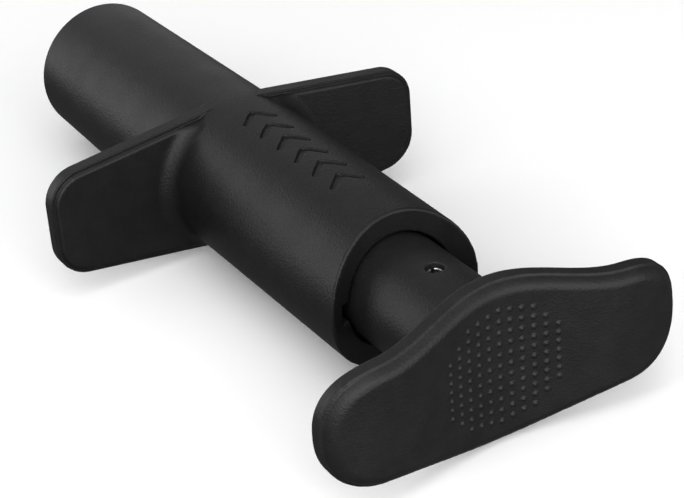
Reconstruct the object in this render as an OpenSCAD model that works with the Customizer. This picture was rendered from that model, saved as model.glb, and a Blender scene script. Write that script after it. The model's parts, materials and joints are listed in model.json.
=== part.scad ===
// String winder with a push drive. Pressing the thumb rest slides the plunger into the
// barrel, the drive nut turns the helical spindle, and the spindle turns the peg socket.
// The barrel axis is Y. The origin is the centre of the open end of the peg socket, the
// thumb rest lies towards -Y, the finger wings reach along X, and +Z is up.

/* [Barrel] */
// Length of the barrel from its mouth to its nose
barrel_len = 116.4; // [112:0.2:120]
// Outer radius at the mouth
mouth_r = 15; // [14.8:0.1:15.6]
// Outer radius where the wings meet the barrel
waist_r = 15.2; // [15:0.1:15.8]
// Outer radius at the nose
nose_r = 14.15; // [14.1:0.05:14.8]
// Radius of the bore that the plunger slides in
bore_r = 10.72; // [10.7:0.01:10.8]
// Radius of the hollow curve of the mouth, seen from above
mouth_bow_r = 33.5; // [30:0.5:40]

/* [Finger wings] */
// Distance from the mouth back to the front of the wings
wing_setback = 55.8; // [50:0.2:60]
// Distance from the axis to the tip of a wing
wing_reach = 39.4; // [36:0.2:44]
// Thickness of a wing's edge
wing_t = 2.8; // [2.4:0.1:4]
// Half the height of a wing where it would cross the axis
wing_root_half = 15; // [14:0.1:15.2]
// Half the height of a wing at its tip
wing_tip_half = 10; // [8:0.1:12]
// Radius of the two corners at a wing's tip
wing_corner_r = 6.8; // [4:0.1:8]

/* [Thumb rest] */
// Distance from the mouth forward to the front of the thumb rest
thumb_setout = 31.2; // [30.8:0.1:33]
// Thickness of the plate's edge
edge_t = 2.6; // [2.2:0.1:3]
// How far the cushioned front stands in front of the edge
cushion_proud = 1.6; // [1:0.1:2]
// How far the plate's front bows towards the thumb
bow_depth = 4.1; // [2:0.1:4.5]
// Distance from the centre to the crest of the bow
bow_half_span = 24.5; // [22:0.5:28]
// Half the height of the plate at its centre
hump_half = 15.35; // [15:0.05:16.5]
// Half the height of the plate at its shoulders
shoulder_half = 11.1; // [9:0.1:12]
// Distance from the centre to the shoulders
shoulder_x = 23.6; // [22:0.1:26]
// Spacing of the raised grip dots
dot_pitch = 2.12; // [2:0.02:2.3]
// How much closer the dots of each further column stand
dot_squeeze = 0.04; // [0:0.01:0.05]

/* [Drive] */
// Travel of the plunger
stroke = 24; // [18:0.5:24]
// Advance of the spindle's helix in one turn
helix_lead = 25; // [20:0.5:40]
// Outer radius of the plunger tube
plunger_r = 10.2; // [10:0.05:10.2]
// Outer radius of the helical rod
rod_r = 4; // [3.8:0.05:4]
// Radius of the spindle's journals
journal_r = 3; // [2.8:0.05:3]

/* [Peg socket] */
// Length of the pocket for a tuning peg's button
pocket_w = 19.2; // [18:0.1:19.2]
// Width of the pocket
pocket_h = 7.8; // [6:0.1:7.8]
// Depth of the pocket
pocket_d = 14.6; // [12:0.1:14.6]

/* [Hidden] */
$fn = 96;
eps = 0.01;
run_gap = 0.05; // radial running clearance of a shaft in its bush

// Colours
shell_black = [0.13, 0.13, 0.135];
soft_black = [0.17, 0.17, 0.18];
acetal = [0.86, 0.85, 0.8];
acetal_black = [0.07, 0.07, 0.075];
steel = [0.68, 0.69, 0.71];
brass = [0.78, 0.62, 0.3];
bronze = [0.66, 0.45, 0.25];
carrier_grey = [0.4, 0.42, 0.45];

// Stations along the axis, measured from the nose
mouth_y = -barrel_len;
wing_front_y = mouth_y + wing_setback;
thumb_front_y = mouth_y - thumb_setout;
plate_t = edge_t + cushion_proud;
plunger_front_y = thumb_front_y + plate_t;
plunger_back_y = mouth_y + 30;
pin_y = mouth_y - 12.8;
nut_y0 = plunger_back_y - 10.6;
nut_y1 = plunger_back_y - 2;
follower_y = (nut_y0 + nut_y1) / 2;
glide_y0 = plunger_back_y - 8;
glide_y1 = plunger_back_y - 2;
liner_y0 = mouth_y + 4;
liner_y1 = glide_y0 - 0.1;
shoulder_y = -44;
rod_y0 = mouth_y + 16;
rod_y1 = -50;
carrier_y1 = -31;
clip_y0 = -30.7;
socket_y0 = -29.6;
socket_y1 = -2.7;
hub_y0 = -29.4;
clutch_y1 = -20.8;
ring_y0 = -2.4;
shaft_end_y = -18.1;

// Radii
keyway_r = 12.2;
keyway_w = 3.75;
key_r = 12;
key_w = 3.4;
plunger_bore_r = 7.6;
nut_seat_r = 8.2;
glide_seat_r = 9.6;
chamber_r = 12.7;
socket_r = 11.6;
race_r0 = 7.8;
race_r1 = 9.55;
roller_r = 1.2;
roller_orbit = 6.5;
roller_count = 6;
ball_orbit = 4.75;
ball_r = 0.8;
ball_count = 8;
groove_r = 1.1;
bearing_r = 6.5;
bearing_w = 5;
dot_r = 0.6;
dot_proud = 0.35;
pad_inset = 1;
pad_proud = 0.6;
fillet_r = 3;
cushion_inset = 1.4;
pin_r = 1.48;
pin_half = 9.3;

// ---- helpers -------------------------------------------------------------------

// Puts a shape that is drawn along +Z onto the barrel axis, starting at station y
module on_axis(y) {
  translate([0, y, 0]) rotate([-90, 0, 0]) children();
}

// A round bar between two stations
module bar(y0, y1, r0, r1) {
  on_axis(y0) cylinder(h = y1 - y0, r1 = r0, r2 = r1);
}

// A ring between two stations
module ring(y0, y1, r_out, r_in) {
  on_axis(y0) difference() {
    cylinder(h = y1 - y0, r = r_out);
    translate([0, 0, -1]) cylinder(h = y1 - y0 + 2, r = r_in);
  }
}

// A block centred on X and Z between two stations
module block(x, z, y0, y1) {
  translate([-x / 2, y0, -z / 2]) cube([x, y1 - y0, z]);
}

// A rounded slot that runs from station y0 to y1
module slot(w, h, corner, y0, y1) {
  on_axis(y0) linear_extrude(y1 - y0) union() {
    square([w - 2 * corner, h], center = true);
    square([w, h - 2 * corner], center = true);
    for (sx = [-1, 1], sz = [-1, 1])
      translate([sx * (w / 2 - corner), sz * (h / 2 - corner)]) circle(r = corner);
  }
}

// Drawn in X and Z, and raised from station y0 to y1
module raised_xz(y0, y1) {
  translate([0, y1, 0]) rotate([90, 0, 0]) linear_extrude(y1 - y0) children();
}

// ---- barrel ---------------------------------------------------------------------

// Outline of both wings and the waist between them, inset by an amount
function wing_half_at(x) = wing_root_half - (wing_root_half - wing_tip_half) * x / wing_reach;
function wing_slope() = atan((wing_root_half - wing_tip_half) / wing_reach);
function corner_arc(inset) =
  let (r = wing_corner_r - inset, cx = wing_reach - wing_corner_r,
       cz = wing_half_at(cx) - wing_corner_r / cos(wing_slope()))
  [for (a = [0 : 6 : 90 - wing_slope()]) [cx + r * cos(a), cz + r * sin(a)]];
function quarter(inset) = concat(corner_arc(inset),
  [[0, wing_root_half - inset / cos(wing_slope())]]);
function flip_x(points) = [for (i = [len(points) - 1 : -1 : 0]) [-points[i][0], points[i][1]]];
function flip_z(points) = [for (i = [len(points) - 1 : -1 : 0]) [points[i][0], -points[i][1]]];
function wing_outline(inset) =
  let (top = concat(quarter(inset), flip_x(corner_arc(inset))))
  concat(top, flip_z(top));

module wings() {
  raised_xz(wing_front_y, wing_front_y + wing_t) polygon(wing_outline(0));
  raised_xz(wing_front_y - pad_proud, wing_front_y + eps) polygon(wing_outline(pad_inset));
  root_fillet();
}

// Concave fillet between the wings' front faces and the barrel
module root_fillet() {
  intersection() {
    on_axis(wing_front_y - fillet_r) rotate_extrude() difference() {
      square([waist_r + fillet_r, fillet_r + eps]);
      translate([waist_r + fillet_r, 0]) circle(r = fillet_r);
    }
    raised_xz(wing_front_y - 10, wing_front_y + 1) polygon(wing_outline(0.4));
  }
}

// Direction marks on top of the barrel, sunk by 0.4
module direction_marks() {
  difference() {
    for (i = [0 : 5])
      translate([0, mouth_y + 12.8 + 6.2 * i, 0])
        linear_extrude(mouth_r + 2)
          polygon([[-3.4, 0], [0, 3.4], [3.4, 0], [3.4, 1.8], [0, 5.2], [-3.4, 1.8]]);
    bar(mouth_y, wing_front_y, mouth_r - 0.4, waist_r - 0.4);
  }
}

module barrel() {
  color(shell_black) difference() {
    union() {
      bar(mouth_y - 4, mouth_y, mouth_r, mouth_r);
      bar(mouth_y, wing_front_y, mouth_r, waist_r);
      bar(wing_front_y, -0.6, waist_r, nose_r);
      bar(-0.6, 0, nose_r, nose_r - 0.5);
      wings();
    }
    // bore, keyways and the chamber for the drive
    bar(mouth_y - 5, shoulder_y + 1, bore_r, bore_r);
    block(2 * keyway_r, keyway_w, mouth_y - 5, plunger_back_y + stroke + 2);
    bar(shoulder_y, 1, chamber_r, chamber_r);
    // hollow curve of the mouth
    translate([0, mouth_y - mouth_bow_r, -20]) cylinder(h = 40, r = mouth_bow_r);
    direction_marks();
  }
}

// Thin sleeve behind the mouth that guides the plunger and stops its glide ring
module mouth_liner() {
  color(acetal_black) difference() {
    union() {
      bar(liner_y0, liner_y1, bore_r - 0.02, bore_r - 0.02);
      block(2 * key_r, key_w, liner_y0, liner_y0 + 4);
    }
    bar(liner_y0 - 1, liner_y1 + 1, plunger_r + run_gap, plunger_r + run_gap);
  }
}

module spring_seat() {
  color(steel) ring(shoulder_y - 1.2, shoulder_y - 0.2, bore_r - 0.22, 5.6);
}

// Block that carries the spindle's two bearings
module bearing_carrier() {
  color(carrier_grey) difference() {
    bar(shoulder_y, carrier_y1, chamber_r - 0.05, chamber_r - 0.05);
    bar(shoulder_y - 1, shoulder_y + 6, 5, 5);
    bar(shoulder_y, carrier_y1, 3.8, 3.8);
    bar(carrier_y1 - bearing_w, carrier_y1 + 1, bearing_r + 0.01, bearing_r + 0.01);
  }
}

module front_bush() {
  color(bronze) ring(shoulder_y, shoulder_y + 6, 5 - 0.01, journal_r + run_gap);
}

module bearing_outer_race() {
  color(steel) difference() {
    ring(carrier_y1 - bearing_w, carrier_y1, bearing_r, 5.4);
    on_axis(carrier_y1 - bearing_w / 2)
      rotate_extrude() translate([ball_orbit, 0]) circle(r = groove_r, $fn = 48);
  }
}

module thrust_washer() {
  color(acetal) ring(carrier_y1 + 0.05, carrier_y1 + 1.05, 11.3, 7);
}

// Long sleeve that the peg socket turns in
module socket_bush() {
  color(acetal) ring(carrier_y1, socket_y1 + 0.2, chamber_r - 0.05, socket_r + run_gap);
}

module nose_ring() {
  color(shell_black) difference() {
    ring(ring_y0, 0, chamber_r - 0.02, 10.6);
    bar(-0.8, 0.1, 10.6, 11.4);
    // two spanner notches
    block(30, 2.4, -0.9, 1);
  }
}

// ---- plunger ----------------------------------------------------------------------

// Front of the plate seen from above: a hollow for the thumb between two crests
function bow(x) = bow_depth * (1 - cos(180 * x / bow_half_span)) / 2;
// Band of the plate between two depths behind its front, seen from above
function plate_band(d0, d1) = concat(
  [for (x = [-36 : 2 : 36]) [x, thumb_front_y - bow(x) + d0]],
  [for (x = [36 : -2 : -36]) [x, thumb_front_y - bow(x) + d1]]);

// Outline of the plate: a hump between two tips that are round but slightly square
tip_power = 2.3;
function plate_half(x) = shoulder_half
  + (hump_half - shoulder_half) * (1 + cos(180 * x / (shoulder_x + 2))) / 2;
function plate_top(inset) = [for (x = [0 : 2 : shoulder_x]) [x, plate_half(x) - inset]];
function plate_tip(inset) =
  let (r = plate_half(shoulder_x) - inset)
  [for (a = [82 : -8 : -82])
    [shoulder_x + r * pow(cos(a), 2 / tip_power),
     r * sign(sin(a)) * pow(abs(sin(a)), 2 / tip_power)]];
function plate_outline(inset) =
  let (half = concat(plate_top(inset), plate_tip(inset), flip_z(plate_top(inset))),
       n = len(half))
  concat(half, [for (i = [n - 2 : -1 : 1]) [-half[i][0], half[i][1]]]);

module plate_layer(d0, d1, inset) {
  intersection() {
    translate([0, 0, -20]) linear_extrude(40) polygon(plate_band(d0, d1));
    raised_xz(thumb_front_y - 10, plunger_front_y + 10) polygon(plate_outline(inset));
  }
}

// Rows of dots fill an octagon, fewer towards its sides
function dot_rows(column) = min(5, 8 - abs(column));

module grip_dots() {
  for (i = [-5 : 5]) {
    x = i * dot_pitch;
    row_pitch = dot_pitch * (1 - dot_squeeze * abs(i));
    for (j = [-dot_rows(i) : dot_rows(i)])
      translate([x, thumb_front_y - bow(x) + dot_r - dot_proud, j * row_pitch])
        sphere(r = dot_r, $fn = 24);
  }
}

// Bowed plate with a cushioned front, and the spigot that plugs into the plunger tube
module thumb_rest() {
  color(soft_black) union() {
    plate_layer(cushion_proud, plate_t, 0);
    plate_layer(0, cushion_proud + eps, cushion_inset);
    grip_dots();
    difference() {
      bar(plunger_front_y - 2, pin_y + 4, plunger_bore_r - 0.03, plunger_bore_r - 0.03);
      translate([0, pin_y, -10]) cylinder(h = 20, r = pin_r + 0.02, $fn = 48);
    }
  }
}

module plunger_tube() {
  color(soft_black) difference() {
    bar(plunger_front_y - 0.6, plunger_back_y, plunger_r, plunger_r);
    // follow the bowed back of the thumb rest
    translate([0, 0, -20]) linear_extrude(40) polygon(concat(
      [for (x = [-12 : 2 : 12]) [x, thumb_front_y - bow(x) + plate_t + 0.02]],
      [[12, thumb_front_y - 20], [-12, thumb_front_y - 20]]));
    bar(plunger_front_y - 5, nut_y0 + eps, plunger_bore_r, plunger_bore_r);
    bar(nut_y0, plunger_back_y + 1, nut_seat_r, nut_seat_r);
    // cross hole for the handle pin, groove for the nut's clip and seat of the glide ring
    translate([0, pin_y, -15]) cylinder(h = 30, r = pin_r + 0.07, $fn = 48);
    bar(nut_y1, nut_y1 + 1, 8.8, 8.8);
    difference() {
      bar(glide_y0, glide_y1, 12, 12);
      bar(glide_y0 - 1, glide_y1 + 1, glide_seat_r, glide_seat_r);
    }
  }
}

// Slotted spring pin that holds the thumb rest in the tube
module handle_pin() {
  color(steel) translate([0, pin_y, -pin_half]) difference() {
    cylinder(h = 2 * pin_half, r = pin_r, $fn = 48);
    translate([0, 0, -1]) cylinder(h = 2 * pin_half + 2, r = pin_r - 0.5, $fn = 48);
    rotate([0, 0, 82]) translate([0, -0.25, -1]) cube([3, 0.5, 2 * pin_half + 2]);
  }
}

// Split ring with two keys that run in the barrel's keyways
module glide_ring() {
  color(acetal_black) difference() {
    union() {
      bar(glide_y0, glide_y1, bore_r - run_gap, bore_r - run_gap);
      block(2 * key_r, key_w, glide_y0, glide_y1);
    }
    bar(glide_y0 - 1, glide_y1 + 1, glide_seat_r + 0.02, glide_seat_r + 0.02);
  }
}

module drive_nut() {
  color(brass) difference() {
    bar(nut_y0 + 0.02, nut_y1 - 0.02, nut_seat_r - 0.02, nut_seat_r - 0.02);
    bar(nut_y0 - 1, nut_y1 + 1, rod_r + 0.3, rod_r + 0.3);
    translate([0, follower_y, -10]) cylinder(h = 20, r = 0.76, $fn = 48);
  }
}

// Two steel pins whose tips ride in the rod's grooves
module follower_pins() {
  color(steel) for (s = [0, 180])
    translate([0, follower_y, 0]) rotate([0, s, 0])
      translate([0, 0, rod_r - 0.95]) cylinder(h = 4.9, r = 0.75, $fn = 48);
}

module nut_clip() {
  color(steel) difference() {
    ring(nut_y1 + 0.05, nut_y1 + 0.95, 8.75, 6.9);
    translate([-0.9, nut_y1 - 1, 0]) cube([1.8, 4, 12]);
  }
}

// Coil spring between the plunger and its seat, drawn as a swept wire
spring_y0 = plunger_back_y + 0.05;
spring_y1 = shoulder_y - 1.25;
spring_r = 9.2;
wire_r = 0.55;
spring_turns = 9;
spring_steps = 20;
wire_sides = 8;

function spring_rise(t) =
  let (h = spring_y1 - spring_y0 - 2 * wire_r, dead = 0.9, n = spring_turns,
       pitch = (h - 2 * dead * 2 * wire_r) / (n - 2 * dead))
  t < dead ? 2 * wire_r * t :
  t > n - dead ? h - 2 * wire_r * (n - t) :
  2 * wire_r * dead + pitch * (t - dead);

module return_spring() {
  steps = spring_turns * spring_steps;
  rings = [for (k = [0 : steps]) let (t = k / spring_steps, a = 360 * t)
    [for (s = [0 : wire_sides - 1]) let (b = 360 * s / wire_sides, r = spring_r + wire_r * cos(b))
      [r * cos(a), r * sin(a), spring_rise(t) + wire_r + wire_r * sin(b)]]];
  sides = [for (k = [0 : steps - 1], s = [0 : wire_sides - 1])
    let (a = k * wire_sides, n = (s + 1) % wire_sides)
    [a + s, a + wire_sides + s, a + wire_sides + n, a + n]];
  last = steps * wire_sides;
  color(steel) on_axis(spring_y0) polyhedron(
    points = [for (r = rings) each r],
    faces = concat(sides, [[for (s = [0 : wire_sides - 1]) s]],
      [[for (s = [wire_sides - 1 : -1 : 0]) last + s]]),
    convexity = 10);
}

// ---- spindle ------------------------------------------------------------------------

groove_w = 3.1;
groove_floor = 2.7;
rod_turns = (rod_y1 - rod_y0) / helix_lead;
groove_side = asin(groove_w / 2 / rod_r);
rod_section = [for (half = [0, 180]) each concat(
  [for (i = [0 : 5]) let (a = half - 90 + groove_side + i * (180 - 2 * groove_side) / 5)
    [rod_r * cos(a), rod_r * sin(a)]],
  [for (x = [groove_w / 2, -groove_w / 2]) let (s = half == 0 ? 1 : -1) [s * x, s * groove_floor]])];

module helix_rod() {
  // turned so that a groove lies under each follower pin
  turn = 360 * (follower_y - rod_y0) / helix_lead;
  color(steel) union() {
    on_axis(rod_y0) rotate([0, 0, -turn])
      linear_extrude(rod_y1 - rod_y0, twist = -360 * rod_turns, slices = 72,
          convexity = 6, $fn = 16) polygon(rod_section);
    difference() {
      bar(rod_y1 - eps, rod_y1 + 6, 1.8, 1.8);
      translate([0, rod_y1 + 3, -8]) cylinder(h = 16, r = 0.6, $fn = 48);
    }
  }
}

module rod_pin() {
  color(steel) translate([0, rod_y1 + 3, -4.3]) cylinder(h = 8.6, r = 0.59, $fn = 48);
}

// Shaft that holds the rod, runs in the carrier and ends as the socket's pilot
module spindle_shaft() {
  color(steel) difference() {
    union() {
      bar(rod_y1 + 0.01, rod_y1 + 4.6, 4.6, 4.6);
      bar(rod_y1 + 4, shaft_end_y, journal_r, journal_r);
    }
    bar(rod_y1 - 1, rod_y1 + 6.1, 1.82, 1.82);
    translate([0, rod_y1 + 3, -8]) cylinder(h = 16, r = 0.6, $fn = 48);
    // groove for the clip
    difference() {
      bar(clip_y0 - 0.02, clip_y0 + 0.72, 4, 4);
      bar(clip_y0 - 1, clip_y0 + 2, 2.4, 2.4);
    }
  }
}

module bearing_inner_race() {
  color(steel) difference() {
    ring(carrier_y1 - bearing_w, carrier_y1, 4.1, journal_r + 0.01);
    on_axis(carrier_y1 - bearing_w / 2)
      rotate_extrude() translate([ball_orbit, 0]) circle(r = groove_r, $fn = 48);
  }
}

module bearing_balls() {
  color(steel) for (i = [0 : ball_count - 1])
    on_axis(carrier_y1 - bearing_w / 2) rotate([0, 0, 360 * i / ball_count])
      translate([ball_orbit, 0, 0]) sphere(r = ball_r, $fn = 32);
}

module shaft_clip() {
  color(steel) difference() {
    ring(clip_y0, clip_y0 + 0.7, 4.9, 2.42);
    translate([-1.6, clip_y0 - 1, 0]) cube([3.2, 4, 10]);
  }
}

// Inner half of the one-way clutch, with a pocket for each roller
module clutch_hub() {
  color(steel) difference() {
    ring(hub_y0, clutch_y1, 7.35, journal_r + 0.01);
    for (i = [0 : roller_count - 1])
      on_axis(hub_y0 - 1) rotate([0, 0, 360 * i / roller_count]) linear_extrude(12) union() {
        translate([roller_orbit, 0]) circle(r = roller_r + 0.08, $fn = 48);
        translate([roller_orbit - 0.6, 0]) rotate([0, 0, 20]) square([4, 2.6]);
      }
  }
}

// ---- peg socket -----------------------------------------------------------------------

module peg_socket() {
  color(soft_black) difference() {
    bar(socket_y0, socket_y1, socket_r, socket_r);
    // seat of the clutch race, pilot hole and the pocket that holds the liner
    bar(socket_y0 - 1, clutch_y1 + 0.3, race_r1 + 0.02, race_r1 + 0.02);
    bar(socket_y0, 0, journal_r + run_gap, journal_r + run_gap);
    slot(pocket_w + 1.6, pocket_h + 1.6, 2.4, socket_y1 - pocket_d - 0.6, 1);
  }
}

module socket_liner() {
  color([0.09, 0.09, 0.09]) difference() {
    slot(pocket_w + 1.56, pocket_h + 1.56, 2.4, socket_y1 - pocket_d - 0.58, socket_y1 - 0.02);
    slot(pocket_w, pocket_h, 1.5, socket_y1 - pocket_d, 1);
  }
}

module clutch_race() {
  color(steel) ring(socket_y0 + 0.3, clutch_y1, race_r1, race_r0);
}

module clutch_rollers() {
  color(steel) for (i = [0 : roller_count - 1])
    on_axis(hub_y0 + 0.3) rotate([0, 0, 360 * i / roller_count])
      translate([roller_orbit, 0, 0]) cylinder(h = clutch_y1 - hub_y0 - 0.6, r = roller_r, $fn = 48);
}

barrel();
mouth_liner();
spring_seat();
bearing_carrier();
front_bush();
bearing_outer_race();
thrust_washer();
socket_bush();
nose_ring();
thumb_rest();
plunger_tube();
handle_pin();
glide_ring();
drive_nut();
follower_pins();
nut_clip();
return_spring();
helix_rod();
rod_pin();
spindle_shaft();
bearing_inner_race();
bearing_balls();
shaft_clip();
clutch_hub();
peg_socket();
socket_liner();
clutch_race();
clutch_rollers();
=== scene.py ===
import json
import math

import bpy
import numpy as np
from mathutils import Matrix, Vector


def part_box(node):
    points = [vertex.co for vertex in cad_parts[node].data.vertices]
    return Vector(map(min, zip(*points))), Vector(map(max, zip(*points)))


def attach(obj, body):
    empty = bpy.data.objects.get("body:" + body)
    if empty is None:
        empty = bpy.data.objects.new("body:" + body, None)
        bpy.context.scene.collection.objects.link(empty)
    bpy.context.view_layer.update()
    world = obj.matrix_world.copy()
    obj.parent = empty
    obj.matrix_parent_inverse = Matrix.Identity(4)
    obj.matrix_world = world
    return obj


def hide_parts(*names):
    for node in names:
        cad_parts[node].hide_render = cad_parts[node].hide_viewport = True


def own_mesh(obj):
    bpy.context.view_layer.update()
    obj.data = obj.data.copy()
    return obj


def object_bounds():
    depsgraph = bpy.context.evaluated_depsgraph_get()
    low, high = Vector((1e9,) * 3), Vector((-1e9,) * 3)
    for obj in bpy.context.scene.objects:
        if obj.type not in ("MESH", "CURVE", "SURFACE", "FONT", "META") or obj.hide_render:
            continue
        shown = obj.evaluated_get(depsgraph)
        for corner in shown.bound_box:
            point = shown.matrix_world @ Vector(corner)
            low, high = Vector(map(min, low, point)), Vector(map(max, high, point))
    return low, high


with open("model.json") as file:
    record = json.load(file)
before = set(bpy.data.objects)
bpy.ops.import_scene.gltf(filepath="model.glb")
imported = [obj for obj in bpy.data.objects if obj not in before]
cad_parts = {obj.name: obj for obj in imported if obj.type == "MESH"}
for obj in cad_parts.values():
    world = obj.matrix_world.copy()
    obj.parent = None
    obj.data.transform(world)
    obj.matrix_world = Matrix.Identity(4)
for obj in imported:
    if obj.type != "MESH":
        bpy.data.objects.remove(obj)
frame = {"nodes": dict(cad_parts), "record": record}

cad_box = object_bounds()
record = frame["record"]
MM = 0.001


# ---- sizes, in millimetres, from the CAD's boxes and mounts ---------------------------

def low(node):
    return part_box(node)[0] / MM


def high(node):
    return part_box(node)[1] / MM


LINER_SETBACK = 4
WING_T, PAD_T = 2.8, 0.6
MOUTH = low("mouth_liner").y - LINER_SETBACK
WING_BACK = next(m for m in record["mounts"] if m["name"] == "wing_rear_face")["pos_m"][1] / MM
WING_FRONT = WING_BACK - WING_T
PAD_FRONT = WING_FRONT - PAD_T
REACH = high("barrel").x
WING_ROOT, WING_TIP = 15.0, 10.0
WING_TAPER = (WING_ROOT - WING_TIP) / WING_ROOT / REACH
NOSE = high("barrel").y
SHOULDER = low("bearing_carrier").y
PIN = (low("handle_pin").y + high("handle_pin").y) / 2
TUBE_END = high("plunger_tube").y
TUBE_R = high("plunger_tube").x
BORE_R, CHAMBER_R = 10.72, 12.7
MOUTH_R, WAIST_R, NOSE_R = 15.0, 15.2, 14.15
MOUTH_HOLLOW_R = 33.5
KEYWAY_HALF, KEYWAY_R, KEYWAY_LENGTH = 1.8, 12.2, 26
GLIDE = (low("glide_ring").y, high("glide_ring").y)
THUMB_SETOUT = 31.2
THUMB_FRONT = MOUTH - THUMB_SETOUT
PLATE_T, CUSHION_T = 4.2, 1.6
BOW_DEPTH, BOW_HALF_WAVE = 4.1, 24.5
DOT_PITCH, DOT_R, DOT_SINK = 2.12, 0.58, 0.3
PIN_HOLE_R, PIN_R, PIN_BORE_R, PIN_HALF = 1.6, 1.48, 0.98, 9.3
MARK_COUNT, MARK_PITCH, MARK_HALF, MARK_STROKE_R, MARK_DEPTH = 6, 6.2, 2.9, 0.62, 0.4
SOCKET = (low("peg_socket").y, high("peg_socket").y)


# ---- solids as distance fields, negative inside ----------------------------------------

def join(a, b, r):
    """Union with a fillet of radius r in the corner."""
    return np.maximum(r, np.minimum(a, b)) - np.hypot(np.maximum(r - a, 0), np.maximum(r - b, 0))


def cut(a, b, r):
    """Intersection with its edge rounded to radius r."""
    return np.minimum(-r, np.maximum(a, b)) + np.hypot(np.maximum(r + a, 0), np.maximum(r + b, 0))


def slot_shape(x, z, w, h, corner):
    """A rounded rectangle, seen along the barrel."""
    u, v = np.abs(x) - (w / 2 - corner), np.abs(z) - (h / 2 - corner)
    return np.hypot(np.maximum(u, 0), np.maximum(v, 0)) + np.minimum(np.maximum(u, v), 0) - corner


def wing_shape(x, z):
    """Outline of the wings: straight tapering edges and a round corner of 6.8 mm at each tip."""
    corner, root, tip = 6.8, WING_ROOT, WING_TIP
    slope = math.atan((root - tip) / REACH)
    ax, az = np.abs(x), np.abs(z)
    edge = (az - root) * math.cos(slope) + ax * math.sin(slope)
    end = ax - REACH
    # distance from the corner's centre, measured along the two edges' normals
    cx = REACH - corner
    cz = root - (root - tip) * cx / REACH - corner / math.cos(slope)
    dx, dz = ax - cx, az - cz
    arc = np.hypot(dx, dz) - corner
    in_arc = (dz > 0) & (dx * math.cos(slope) - dz * math.sin(slope) > 0)
    return np.where(in_arc, arc, np.maximum(edge, end))


def direction_marks(x, y):
    """Six chevrons in a row along the top of the barrel, pointing the way the plunger goes."""
    first, centre, start = MOUTH + 12.8, 2.6, 1.4
    k = np.clip(np.round((y - first - centre) / MARK_PITCH), 0, MARK_COUNT - 1)
    u, v = np.abs(x), y - first - MARK_PITCH * k
    t = np.clip(((MARK_HALF - u) + (v - start)) / (2 * MARK_HALF), 0, 1)
    return np.hypot(u - MARK_HALF * (1 - t), v - start - MARK_HALF * t) - MARK_STROKE_R


def barrel(x, y, z):
    r = np.hypot(x, z)
    wall = np.interp(y, [MOUTH, WING_FRONT, NOSE], [MOUTH_R, WAIST_R, NOSE_R])
    skin = r - wall
    hollow = MOUTH_HOLLOW_R - np.hypot(x, y - (MOUTH - MOUTH_HOLLOW_R))
    tube = cut(cut(skin, y - NOSE, 0.6), hollow, 0.55)
    outline = wing_shape(x, z)
    plate = cut(cut(outline, WING_FRONT - y, 0.12), y - WING_BACK, 0.25)
    # the raised pad, which runs into the tube with a fillet of 3 mm
    pad = cut(join(tube, PAD_FRONT - y, 3.0), outline + 0.8, 0.6)
    pad = np.maximum(pad, np.maximum(y - WING_FRONT - 1, PAD_FRONT - 3.2 - y))
    body = np.minimum(join(tube, plate, 0.2), join(plate, pad, 0.12))
    key = np.maximum(np.maximum(np.abs(z) - KEYWAY_HALF, np.abs(x) - KEYWAY_R),
                     y - (TUBE_END + KEYWAY_LENGTH))
    chamber = np.maximum(r - CHAMBER_R, SHOULDER - y)
    hole = np.minimum(join(r - BORE_R, key, 0.35), chamber)
    body = cut(body, -hole, 0.3)
    marks = np.maximum(direction_marks(x, y), np.maximum(wall - MARK_DEPTH - r, -z))
    return cut(body, -marks, 0.1)


def bow(x):
    """How far the front of the thumb rest stands out towards the thumb."""
    return BOW_DEPTH * (1 - np.cos(np.pi * x / BOW_HALF_WAVE)) / 2


def plate_shape(x, z):
    """Outline of the thumb rest: a hump between two slightly square round tips."""
    ax, az = np.abs(x), np.abs(z)
    end, low_half, rise = 23.6, 11.1, 4.25
    wave = np.pi * np.minimum(ax, end) / (end + 2)
    half = low_half + rise * (1 + np.cos(wave)) / 2
    slope = -rise * np.sin(wave) / 2 * np.pi / (end + 2)
    middle = (az - half) / np.sqrt(1 + slope ** 2)
    # past the shoulder the outline goes on at the same slope and height
    last = math.pi * end / (end + 2)
    r = low_half + rise * (1 + math.cos(last)) / 2
    t = np.maximum(ax - end, 0)
    lean = rise * math.sin(last) / 2 * math.pi / (end + 2) * t * np.maximum(1 - t / r, 0)
    tip = (t ** 2.3 + (az + lean) ** 2.3) ** (1 / 2.3) - r
    return np.where(ax < end, middle, tip)


def thumb_rest(x, y, z):
    steepest = BOW_DEPTH * np.pi / (2 * BOW_HALF_WAVE)
    lean = 1 / np.sqrt(1 + (steepest * np.sin(np.pi * x / BOW_HALF_WAVE)) ** 2)
    depth = (y - THUMB_FRONT + bow(x)) * lean
    outline = plate_shape(x, z)
    edge = cut(cut(outline, CUSHION_T - depth, 0.2), depth - PLATE_T, 0.55)
    cushion = cut(outline + 0.4, -depth, 2.2)
    cushion = np.maximum(cushion, depth - 3)
    # the nearest grip dot: a sphere that stands 0.28 proud of the cushion
    col = np.clip(np.round(x / DOT_PITCH), -5, 5)
    pitch = DOT_PITCH * (1 - 0.04 * np.abs(col))
    most = np.minimum(5, 8 - np.abs(col))
    row = np.clip(np.round(z / pitch), -most, most)
    cx = col * DOT_PITCH
    dot = np.sqrt((x - cx) ** 2 + (y - THUMB_FRONT + bow(cx) - DOT_SINK) ** 2
                  + (z - row * pitch) ** 2) - DOT_R
    plate = join(join(edge, cushion, 0.3), dot, 0.1)
    r = np.hypot(x, z)
    spigot = np.maximum(cut(r - 7.57, y - (PIN + 4), 0.5), THUMB_FRONT + 2.2 - y)
    spigot = np.maximum(spigot, 1.5 - np.hypot(x, y - PIN))
    return np.minimum(plate, spigot)


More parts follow.
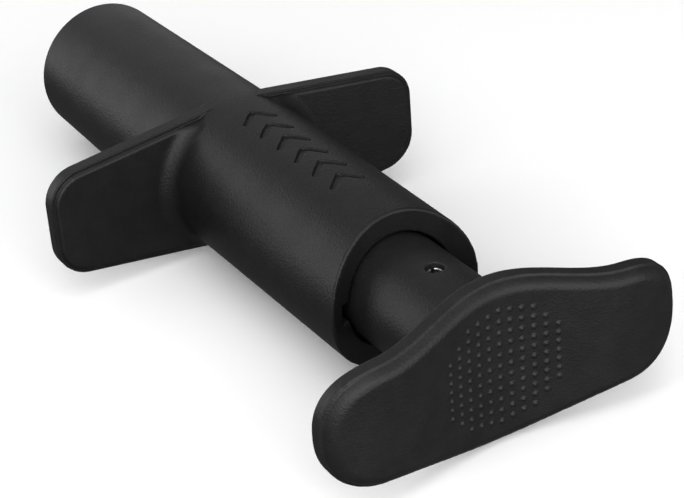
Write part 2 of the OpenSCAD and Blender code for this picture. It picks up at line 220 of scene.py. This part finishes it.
def plunger_tube(x, y, z):
    r = np.hypot(x, z)
    body = cut(r - TUBE_R, y - TUBE_END, 0.4)
    body = np.maximum(body, THUMB_FRONT - bow(x) + PLATE_T + 0.02 - y)
    nut = np.maximum(r - 8.2, GLIDE[0] - 2.6 - y)
    groove = np.maximum(r - 8.8, np.abs(y - GLIDE[1] - 0.5) - 0.5)
    body = cut(body, -np.minimum(np.minimum(r - 7.6, nut), groove), 0.1)
    seat = np.maximum(9.6 - r, np.maximum(GLIDE[0] - y, y - GLIDE[1]))
    body = cut(body, -seat, 0.1)
    return cut(body, PIN_HOLE_R - np.hypot(x, y - PIN), 0.3)


def handle_pin(x, y, z):
    """A rolled pin, open along one side."""
    r = np.hypot(x, y - PIN)
    a, slot_half = math.radians(82), 0.25
    along = x * math.cos(a) + (y - PIN) * math.sin(a)
    across = (y - PIN) * math.cos(a) - x * math.sin(a)
    wall = cut(r - PIN_R, PIN_BORE_R - r, 0.12)
    wall = cut(wall, np.minimum(slot_half - np.abs(across), along), 0.08)
    return cut(wall, np.abs(z) - PIN_HALF, 0.2)


def nose_ring(x, y, z):
    r = np.hypot(x, z)
    body = cut(cut(r - 12.68, y - NOSE, 0.25), 10.6 - r, 0.25)
    body = np.maximum(body, low("nose_ring").y - y)
    recess = np.maximum(r - 11.4, NOSE - 0.8 - y)
    notch = np.maximum(np.abs(z) - 1.2, NOSE - 0.9 - y)
    return cut(cut(body, -recess, 0.15), -notch, 0.2)


def peg_socket(x, y, z):
    r = np.hypot(x, z)
    body = cut(cut(r - 11.6, y - SOCKET[1], 0.5), SOCKET[0] - y, 0.3)
    race = np.maximum(r - 9.57, y - (SOCKET[0] + 9.1))
    pocket = np.maximum(slot_shape(x, z, 20.8, 9.4, 2.4), SOCKET[1] - 15.2 - y)
    return cut(body, -np.minimum(np.minimum(race, pocket), r - 3.05), 0.25)


def socket_liner(x, y, z):
    top, floor = high("socket_liner").y, low("socket_liner").y
    body = np.maximum(slot_shape(x, z, 20.76, 9.36, 2.4), floor - y)
    room = np.maximum(slot_shape(x, z, 19.2, 7.8, 1.5), floor + 0.58 - y)
    return cut(cut(body, y - top, 0.2), -room, 0.3)


# ---- meshing a field ---------------------------------------------------------------------

def line(*spans):
    """Positions of a grid's planes. A span is (start, stop, spacing)."""
    parts = [np.linspace(a, b, max(2, math.ceil((b - a) / s) + 1))[:-1] for a, b, s in spans]
    return np.concatenate(parts + [[spans[-1][1]]])


def mirrored(*spans):
    """The same spacing on both sides of zero."""
    half = line(*spans)
    return np.concatenate([-half[:0:-1], half])


def slope_of(field, p, h=0.01):
    """A field's value and gradient at points, by central differences."""
    g = np.empty_like(p)
    for k in range(3):
        d = np.zeros(3)
        d[k] = h
        g[:, k] = (field(*(p + d).T) - field(*(p - d).T)) / (2 * h)
    return field(*p.T), g


def settle(field, p, reach, rounds):
    """Moves points onto the surface along the field's gradient."""
    for _ in range(rounds):
        f, g = slope_of(field, p)
        step = f[:, None] * g / np.maximum((g ** 2).sum(1), 0.3)[:, None]
        size = np.linalg.norm(step, axis=1)[:, None]
        p = p - step * np.minimum(1, reach / np.maximum(size, 1e-9))
    return p


def net(field, xs, ys, zs):
    """Points and quads of the field's surface, one point in each grid cell it crosses."""
    v = field(xs[:, None, None], ys[None, :, None], zs[None, None, :]).astype(np.float32)
    solid = v < 0
    nx, ny, nz = v.shape
    corners = [(a, b, c) for a in (0, 1) for b in (0, 1) for c in (0, 1)]
    count = sum(solid[a:nx - 1 + a, b:ny - 1 + b, c:nz - 1 + c].astype(np.int8)
                for a, b, c in corners)
    crossed = (count > 0) & (count < 8)
    number = np.full(crossed.shape, -1)
    number[crossed] = np.arange(crossed.sum())
    i, j, k = np.nonzero(crossed)
    total, hits = np.zeros((len(i), 3)), np.zeros(len(i))
    for p in corners:
        for q in corners:
            if sum(q) != sum(p) + 1 or any(b < a for a, b in zip(p, q)):
                continue
            va, vb = v[i + p[0], j + p[1], k + p[2]], v[i + q[0], j + q[1], k + q[2]]
            m = (va < 0) != (vb < 0)
            t = np.where(m, va / np.where(m, va - vb, 1), 0)[:, None]
            a = np.stack([xs[i + p[0]], ys[j + p[1]], zs[k + p[2]]], 1)
            b = np.stack([xs[i + q[0]], ys[j + q[1]], zs[k + q[2]]], 1)
            total += np.where(m[:, None], a + t * (b - a), 0)
            hits += m
    quads = []
    for axis in range(3):
        u, w = (axis + 1) % 3, (axis + 2) % 3
        before = [slice(None)] * 3
        after = [slice(None)] * 3
        before[axis], after[axis] = slice(0, -1), slice(1, None)
        start, end = solid[tuple(before)], solid[tuple(after)]
        at = np.stack(np.nonzero(start != end), 1)
        inner = np.all([(at[:, d] > 0) & (at[:, d] < v.shape[d] - 1) for d in (u, w)], axis=0)
        at = at[inner]
        ring = []
        for du, dw in ((1, 1), (0, 1), (0, 0), (1, 0)):
            c = at.copy()
            c[:, u] -= du
            c[:, w] -= dw
            ring.append(number[tuple(c.T)])
        q = np.stack(ring, 1)
        flip = ~start[tuple(at.T)]
        q[flip] = q[flip, ::-1]
        quads.append(q)
    return total / hits[:, None], np.concatenate(quads)


def relaxed(points, quads):
    """Each point at the average of its neighbours."""
    total, hits = np.zeros_like(points), np.zeros(len(points))
    for a, b in ((0, 1), (1, 2), (2, 3), (3, 0)):
        np.add.at(total, quads[:, a], points[quads[:, b]])
        np.add.at(hits, quads[:, a], 1)
        np.add.at(total, quads[:, b], points[quads[:, a]])
        np.add.at(hits, quads[:, b], 1)
    return total / hits[:, None]


def mesh_object(name, points, faces, normals=None, edge=None):
    me = bpy.data.meshes.new(name)
    me.from_pydata((np.asarray(points) * MM).tolist(), [], np.asarray(faces).tolist()
                   if isinstance(faces, np.ndarray) else faces)
    me.update()
    me.shade_smooth()
    if edge is not None:
        values = me.attributes.new("edge", "FLOAT", "POINT").data
        values.foreach_set("value", edge.astype(np.float32))
    if normals is not None:
        me.normals_split_custom_set_from_vertices(normals.tolist())
    obj = bpy.data.objects.new(name, me)
    bpy.context.scene.collection.objects.link(obj)
    return obj


def moulded(name, field, xs, ys, zs, taper=0.0):
    """A smooth closed mesh of a field, with exact normals and how sharp its convex edges are.
    The grid's height can taper towards its ends in x, by a share of the height per mm."""
    def tapered(x, y, z):
        return field(x, y, z * (1 - taper * np.abs(x)))

    p, quads = net(tapered, xs, ys, zs)
    p[:, 2] *= 1 - taper * np.abs(p[:, 0])
    finest = min(np.diff(a).min() for a in (xs, ys, zs))
    p = settle(field, p, finest, 2)
    p = settle(field, p + 0.5 * (relaxed(p, quads) - p), finest, 3)
    _, g = slope_of(field, p)
    g /= np.maximum(np.linalg.norm(g, axis=1), 1e-6)[:, None]
    drift = np.zeros(len(p))
    for a, b in ((0, 1), (1, 2), (2, 3), (3, 0)):
        ends = p[quads[:, b]] - p[quads[:, a]]
        turn = ((g[quads[:, b]] - g[quads[:, a]]) * ends).sum(1) / np.maximum(
            (ends ** 2).sum(1), 1e-4)
        np.add.at(drift, quads[:, a], turn / 4)
        np.add.at(drift, quads[:, b], turn / 4)
    return mesh_object(name, p, quads, g, np.clip(drift, -2, 2))


def swept(name, rings):
    """A closed skin over rings of the same number of points, capped at both ends."""
    n, m = len(rings), len(rings[0])
    faces = [[k * m + s, k * m + (s + 1) % m, (k + 1) * m + (s + 1) % m, (k + 1) * m + s]
             for k in range(n - 1) for s in range(m)]
    faces += [list(range(m))[::-1], [(n - 1) * m + s for s in range(m)]]
    return mesh_object(name, np.concatenate(rings), faces)


# ---- materials ----------------------------------------------------------------------------

class Nodes:
    """Short ways to add nodes to a material."""

    def __init__(self, name):
        self.material = bpy.data.materials.new(name)
        self.material.use_nodes = True
        self.tree = self.material.node_tree
        self.shader = self.tree.nodes["Principled BSDF"]
        self.place = self.add("ShaderNodeTexCoord").outputs["Object"]

    def add(self, kind, **settings):
        node = self.tree.nodes.new(kind)
        for key, value in settings.items():
            setattr(node, key, value)
        return node

    def link(self, source, target):
        self.tree.links.new(source, target)

    def stretched(self, scale):
        node = self.add("ShaderNodeMapping")
        node.inputs["Scale"].default_value = scale
        self.link(self.place, node.inputs["Vector"])
        return node.outputs["Vector"]

    def noise(self, scale, detail=3.0, roughness=0.55, vector=None):
        node = self.add("ShaderNodeTexNoise")
        node.inputs["Scale"].default_value = scale
        node.inputs["Detail"].default_value = detail
        node.inputs["Roughness"].default_value = roughness
        self.link(vector or self.place, node.inputs["Vector"])
        return node.outputs["Fac"]

    def cells(self, scale):
        node = self.add("ShaderNodeTexVoronoi", feature="SMOOTH_F1")
        node.inputs["Scale"].default_value = scale
        node.inputs["Smoothness"].default_value = 0.6
        self.link(self.place, node.inputs["Vector"])
        return node.outputs["Distance"]

    def between(self, value, low_in, high_in, low_out, high_out):
        node = self.add("ShaderNodeMapRange")
        for key, v in zip(("From Min", "From Max", "To Min", "To Max"),
                          (low_in, high_in, low_out, high_out)):
            node.inputs[key].default_value = v
        self.link(value, node.inputs["Value"])
        return node.outputs["Result"]

    def maths(self, operation, a, b):
        node = self.add("ShaderNodeMath", operation=operation)
        self.link(a, node.inputs[0])
        self.link(b, node.inputs[1])
        return node.outputs[0]

    def blend(self, factor, first, second):
        node = self.add("ShaderNodeMix", data_type="RGBA")
        for socket, v in ((node.inputs[6], first), (node.inputs[7], second)):
            if isinstance(v, tuple):
                socket.default_value = (*v, 1)
            else:
                self.link(v, socket)
        self.link(factor, node.inputs[0])
        return node.outputs[2]

    def bump(self, height, distance, strength, after=None):
        node = self.add("ShaderNodeBump")
        node.inputs["Strength"].default_value = strength
        node.inputs["Distance"].default_value = distance
        self.link(height, node.inputs["Height"])
        if after:
            self.link(after, node.inputs["Normal"])
        return node.outputs["Normal"]

    def attribute(self, name):
        return self.add("ShaderNodeAttribute", attribute_name=name).outputs["Fac"]


def grained_plastic(name, dark, light, rough, grain=2700, depth=0.00005):
    """Moulded plastic with a fine leather grain, faint mottling and a painted highlight that makes
    convex edges paler.
    """
    n = Nodes(name)
    mottle = n.noise(260, 4, 0.6)
    fine = n.cells(grain)
    soft = n.noise(grain * 0.55, 2, 0.5)
    # painted highlight: convex edges (the mesh's edge attribute) are made paler, in patches set by
    # the mottle
    painted_edge_highlight = n.maths("MULTIPLY", n.between(n.attribute("edge"), 0.25, 1.3, 0, 1), mottle)
    colour = n.blend(n.between(mottle, 0.35, 0.68, 0, 1), dark, light)
    # the painted edge highlight blends up to 0.3 of the way to twice the light colour
    colour = n.blend(n.between(painted_edge_highlight, 0.2, 0.9, 0, 0.3), colour, tuple(2 * c for c in light))
    n.link(colour, n.shader.inputs["Base Color"])
    uneven = n.maths("ADD", n.between(n.noise(95, 3), 0.3, 0.7, -0.035, 0.035),
                     n.between(fine, 0, 0.6, rough + 0.03, rough - 0.03))
    n.link(uneven, n.shader.inputs["Roughness"])
    relief = n.bump(soft, depth, 0.35)
    n.link(n.bump(fine, depth, 0.85, relief), n.shader.inputs["Normal"])
    n.shader.inputs["IOR"].default_value = 1.47
    n.shader.inputs["Specular IOR Level"].default_value = 0.22
    return n.material


def turned_metal(name, dark, light, rough, stretch=(30, 900, 30)):
    """Metal with fine lathe lines across the barrel's axis, and duller patches."""
    n = Nodes(name)
    lines = n.noise(3.0, 5, 0.7, n.stretched(stretch))
    patches = n.noise(180, 3)
    n.link(n.blend(n.between(patches, 0.3, 0.7, 0, 1), dark, light), n.shader.inputs["Base Color"])
    n.link(n.maths("ADD", n.between(lines, 0.3, 0.7, -0.06, 0.08),
                   n.between(patches, 0.3, 0.7, rough - 0.05, rough + 0.05)),
           n.shader.inputs["Roughness"])
    n.link(n.bump(lines, 0.00002, 0.35), n.shader.inputs["Normal"])
    n.shader.inputs["Metallic"].default_value = 1.0
    return n.material


def natural_plastic(name, dark, light, rough, through):
    """Turned or moulded natural plastic, slightly clouded."""
    n = Nodes(name)
    cloud = n.noise(140, 4, 0.6)
    tool = n.noise(3.0, 4, 0.7, n.stretched((25, 700, 25)))
    n.link(n.blend(n.between(cloud, 0.3, 0.7, 0, 1), dark, light), n.shader.inputs["Base Color"])
    n.link(n.between(tool, 0.3, 0.7, rough - 0.06, rough + 0.07), n.shader.inputs["Roughness"])
    n.link(n.bump(tool, 0.00002, 0.3), n.shader.inputs["Normal"])
    n.shader.inputs["Subsurface Weight"].default_value = through
    n.shader.inputs["Subsurface Scale"].default_value = 0.001
    return n.material


def rubber(name, dark, light):
    """Matt rubber with a dusty bloom and a fine open grain."""
    n = Nodes(name)
    dust = n.noise(420, 5, 0.65)
    n.link(n.blend(n.between(dust, 0.4, 0.75, 0, 1), dark, light), n.shader.inputs["Base Color"])
    n.link(n.between(n.noise(150, 3), 0.3, 0.7, 0.72, 0.88), n.shader.inputs["Roughness"])
    n.link(n.bump(n.cells(3200), 0.00005, 0.6), n.shader.inputs["Normal"])
    n.shader.inputs["Sheen Weight"].default_value = 0.15
    return n.material


shell_black = grained_plastic("shell_black", (0.0068, 0.0068, 0.0070),
                              (0.0090, 0.0090, 0.0092), 0.42)
grip_black = grained_plastic("grip_black", (0.0090, 0.0090, 0.0092), (0.0118, 0.0118, 0.0120), 0.44)
FINISHES = {
    "shell_plastic": shell_black,
    "grip_plastic": grip_black,
    "black_acetal": natural_plastic("black_acetal", (0.008, 0.008, 0.0085), (0.013, 0.013, 0.0135),
                                    0.42, 0.0),
    "acetal": natural_plastic("acetal", (0.66, 0.64, 0.58), (0.76, 0.74, 0.68), 0.42, 0.15),
    "carrier_plastic": natural_plastic("filled_nylon", (0.09, 0.095, 0.10), (0.13, 0.135, 0.145),
                                       0.55, 0.0),
    "liner_rubber": rubber("liner_rubber", (0.014, 0.014, 0.014), (0.028, 0.027, 0.026)),
    "steel": turned_metal("turned_steel", (0.46, 0.47, 0.49), (0.60, 0.61, 0.62), 0.28),
    "spring_steel": turned_metal("spring_steel", (0.34, 0.34, 0.36), (0.47, 0.47, 0.48), 0.33,
                                 (300, 300, 300)),
    "brass": turned_metal("turned_brass", (0.56, 0.38, 0.14), (0.68, 0.49, 0.20), 0.30),
    "bronze": turned_metal("sintered_bronze", (0.42, 0.24, 0.10), (0.55, 0.34, 0.17), 0.48,
                           (700, 700, 700)),
}
SLOT_OF = {s["node"]: s["material_slot"] for s in record["subparts"]}
BODY_OF = {n: b for b, nodes in record["behaviour"]["bodies"].items() for n in nodes}


def stands_for(obj, node):
    """The new piece takes the CAD node's place, body and finish."""
    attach(obj, BODY_OF[node])
    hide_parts(node)
    obj.data.materials.append(FINISHES[SLOT_OF[node]])
    return obj


# ---- the visible mouldings ------------------------------------------------------------------

stands_for(moulded(
    "barrel_shell", barrel,
    mirrored((0, 4.2, 0.35), (4.2, 20, 0.58), (20, 32.6, 0.8), (32.6, 37.6, 0.5),
             (37.6, REACH + 0.4, 0.25)),
    line((MOUTH - 4.2, MOUTH + 2, 0.4), (MOUTH + 2, MOUTH + 12, 1.0),
         (MOUTH + 12, MOUTH + 50, 0.38),
         (MOUTH + 50, PAD_FRONT - 0.6, 0.6), (PAD_FRONT - 0.6, WING_BACK + 0.8, 0.3),
         (WING_BACK + 0.8, NOSE - 2, 1.4), (NOSE - 2, NOSE + 0.5, 0.3)),
    line((-15.8, -13.4, 0.4), (-13.4, 13.4, 0.62), (13.4, 15.8, 0.25)),
    WING_TAPER), "barrel")

stands_for(moulded(
    "thumb_plate", thumb_rest,
    mirrored((0, 11.6, 0.21), (11.6, 36.2, 0.42)),
    line((THUMB_FRONT - 4.6, THUMB_FRONT + 5, 0.24), (THUMB_FRONT + 5, PIN + 4.6, 0.6)),
    mirrored((0, 11.6, 0.21), (11.6, 16.2, 0.36))), "thumb_rest")

stands_for(moulded(
    "plunger_sleeve", plunger_tube,
    mirrored((0, 2.4, 0.16), (2.4, TUBE_R + 0.6, 0.4)),
    line((THUMB_FRONT + 2.4, PIN - 2.4, 0.5), (PIN - 2.4, PIN + 2.4, 0.16),
         (PIN + 2.4, GLIDE[0] - 4, 0.8), (GLIDE[0] - 4, TUBE_END + 0.6, 0.35)),
    mirrored((0, 8, 0.4), (8, TUBE_R + 0.6, 0.2))), "plunger_tube")

stands_for(moulded(
    "handle_pin_rolled", handle_pin,
    mirrored((0, 1.7, 0.1)), line((PIN - 1.7, PIN + 1.7, 0.1)),
    mirrored((0, 8.3, 0.5), (8.3, 9.5, 0.1))), "handle_pin")

stands_for(moulded(
    "nose_retainer", nose_ring,
    mirrored((0, 13, 0.22)), line((low("nose_ring").y - 0.3, NOSE + 0.3, 0.16)),
    mirrored((0, 13, 0.22))), "nose_ring")

stands_for(moulded(
    "socket_body", peg_socket,
    mirrored((0, 12, 0.3)),
    line((SOCKET[0] - 0.4, SOCKET[1] - 2, 0.5), (SOCKET[1] - 2, SOCKET[1] + 0.4, 0.2)),
    mirrored((0, 12, 0.3))), "peg_socket")

stands_for(moulded(
    "socket_sleeve", socket_liner,
    mirrored((0, 10.8, 0.25)),
    line((low("socket_liner").y - 0.4, SOCKET[1] - 1, 0.4),
         (SOCKET[1] - 1, SOCKET[1] + 0.4, 0.15)),
    mirrored((0, 5.1, 0.25))), "socket_liner")


# ---- spring and helical rod --------------------------------------------------------------------

def coil():
    """The return spring, with its end coils closed."""
    y0, y1 = low("return_spring").y, high("return_spring").y
    mean, wire, turns, dead = 9.2, 0.55, 9, 0.9
    pitch = (y1 - y0 - 2 * wire - 4 * dead * wire) / (turns - 2 * dead)
    rings = []
    for t in np.linspace(0, turns, turns * 48 + 1):
        rise = np.interp(t, [0, dead, turns - dead, turns],
                         [0, 2 * wire * dead, 2 * wire * dead + pitch * (turns - 2 * dead),
                          y1 - y0 - 2 * wire])
        a = 2 * math.pi * t
        b = np.linspace(0, 2 * math.pi, 16, endpoint=False)
        r = mean + wire * np.cos(b)
        rings.append(np.stack([r * math.cos(a), y0 + wire + rise + wire * np.sin(b),
                               -r * math.sin(a)], 1))
    return swept("return_coil", rings)


def grooved_rod():
    """The helical rod: two grooves that wind around it, and its pinned tenon."""
    y0, y1 = low("helix_rod").y, high("helix_rod").y - 6
    lead, follower = 25.0, (low("drive_nut").y + high("drive_nut").y) / 2
    a = np.linspace(0, 2 * math.pi, 96, endpoint=False)
    # depth of the section: round, with a flat-bottomed groove on two sides
    side = np.abs(np.cos(a))
    ramp = np.clip((side - 0.36) / 0.10, 0, 1)
    section = 2.72 / np.maximum(np.abs(np.sin(a)), 0.5) * (1 - ramp) + 3.98 * ramp
    rings = []
    for y in np.concatenate([[y0], np.linspace(y0 + 0.5, y1 - 0.01, 220)]):
        r = section * (0.9 if y == y0 else 1.0)
        turn = a + 2 * math.pi * (y - follower) / lead
        rings.append(np.stack([r * np.cos(turn), np.full(96, y), -r * np.sin(turn)], 1))
    tenon = np.stack([1.8 * np.cos(a), np.zeros(96), -1.8 * np.sin(a)], 1)
    rings += [tenon + [0, y, 0] for y in (y1, y1 + 5.7)]
    rings.append(tenon * [0.85, 1, 0.85] + [0, y1 + 6, 0])
    return swept("grooved_spindle", rings)


spring = stands_for(coil(), "return_spring")
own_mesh(spring)
stands_for(grooved_rod(), "helix_rod")


# ---- CAD nodes that stay ---------------------------------------------------------------------

for name, node in frame["nodes"].items():
    if not node.hide_render:
        node.data.materials.clear()
        node.data.materials.append(FINISHES[SLOT_OF[name]])


# ---- floor, light and camera --------------------------------------------------------------------

def plain(name, colour, roughness):
    n = Nodes(name)
    n.link(n.blend(n.noise(9, 2), tuple(0.985 * c for c in colour), colour),
           n.shader.inputs["Base Color"])
    n.shader.inputs["Roughness"].default_value = roughness
    n.shader.inputs["Specular IOR Level"].default_value = 0.2
    return n.material


def make_floor():
    z, half = cad_box[0].z, 4
    me = bpy.data.meshes.new("floor")
    me.from_pydata([(-half, -half, z), (half, -half, z), (half, half, z), (-half, half, z)],
                   [], [(0, 1, 2, 3)])
    me.materials.append(plain("pale_floor", (0.93, 0.93, 0.93), 0.7))
    obj = bpy.data.objects.new("floor", me)
    bpy.context.scene.collection.objects.link(obj)
    # the floor takes shadows but adds no glare to the dark plastic
    obj.visible_diffuse = False
    obj.visible_glossy = False


# Softboxes: azimuth and elevation in degrees (azimuth 0 is the side the thumb rest is on), and
# brightness
SOFTBOX_SIZE, SOFTBOX_DISTANCE = 0.8, 1.0
SOFTBOXES = {
    "front_low": (-20, 15, 4.0),
    "front_right_low": (22, 9, 2.8),
    "left_low": (-60, 15, 1.5),
    "side_low": (-105, 15, 0.6),
    "rear_left_low": (-140, 15, 1.9),
    "front_high": (-20, 42, 0.9),
    "left_high": (-60, 42, 1.1),
    "front_right_high": (20, 42, 0.4),
    "right_low": (60, 15, 0.2),
    "rear_low": (165, 13, 0.5),
    "rear_high": (180, 42, 0.25),
    "top_front": (30, 70, 0.7),
    "top_left": (-60, 70, 1.1),
    "top": (0, 88, 0.35),
}


def softbox(name, azimuth, elevation, brightness):
    """A square area light that faces the object."""
    data = bpy.data.lights.new(name, "AREA")
    data.size = SOFTBOX_SIZE
    data.energy = brightness * math.pi * SOFTBOX_SIZE * SOFTBOX_SIZE
    obj = bpy.data.objects.new(name, data)
    bpy.context.scene.collection.objects.link(obj)
    a, e = math.radians(azimuth), math.radians(elevation)
    away = Vector((math.sin(a) * math.cos(e), -math.cos(a) * math.cos(e), math.sin(e)))
    middle = (cad_box[0] + cad_box[1]) / 2
    obj.location = middle + away * SOFTBOX_DISTANCE
    obj.rotation_euler = away.to_track_quat("Z", "Y").to_euler()


def make_light():
    world = bpy.data.worlds.new("studio")
    world.use_nodes = True
    world.node_tree.nodes["Background"].inputs["Color"].default_value = (1, 1, 1, 1)
    world.node_tree.nodes["Background"].inputs["Strength"].default_value = 0.12
    bpy.context.scene.world = world
    for name, values in SOFTBOXES.items():
        softbox(name, *values)
    bpy.context.scene.view_settings.view_transform = "Standard"


def make_camera():
    azimuth, elevation, roll = (math.radians(a) for a in (-29.249, 29.806, -4.374))
    aim, distance = Vector((0.00709, -0.08559, -0.00884)), 0.39688
    back = Vector((math.sin(azimuth) * math.cos(elevation),
                   -math.cos(azimuth) * math.cos(elevation), math.sin(elevation)))
    right = (-back).cross(Vector((0, 0, 1))).normalized()
    up = right.cross(-back)
    data = bpy.data.cameras.new("camera")
    data.lens = 111.474
    data.sensor_width = 36
    data.clip_start = 0.01
    obj = bpy.data.objects.new("camera", data)
    bpy.context.scene.collection.objects.link(obj)
    place = Matrix((right * math.cos(roll) + up * math.sin(roll),
                    up * math.cos(roll) - right * math.sin(roll), back)).transposed().to_4x4()
    place.translation = aim + back * distance
    obj.matrix_world = place
    bpy.context.scene.camera = obj


make_floor()
make_light()
make_camera()
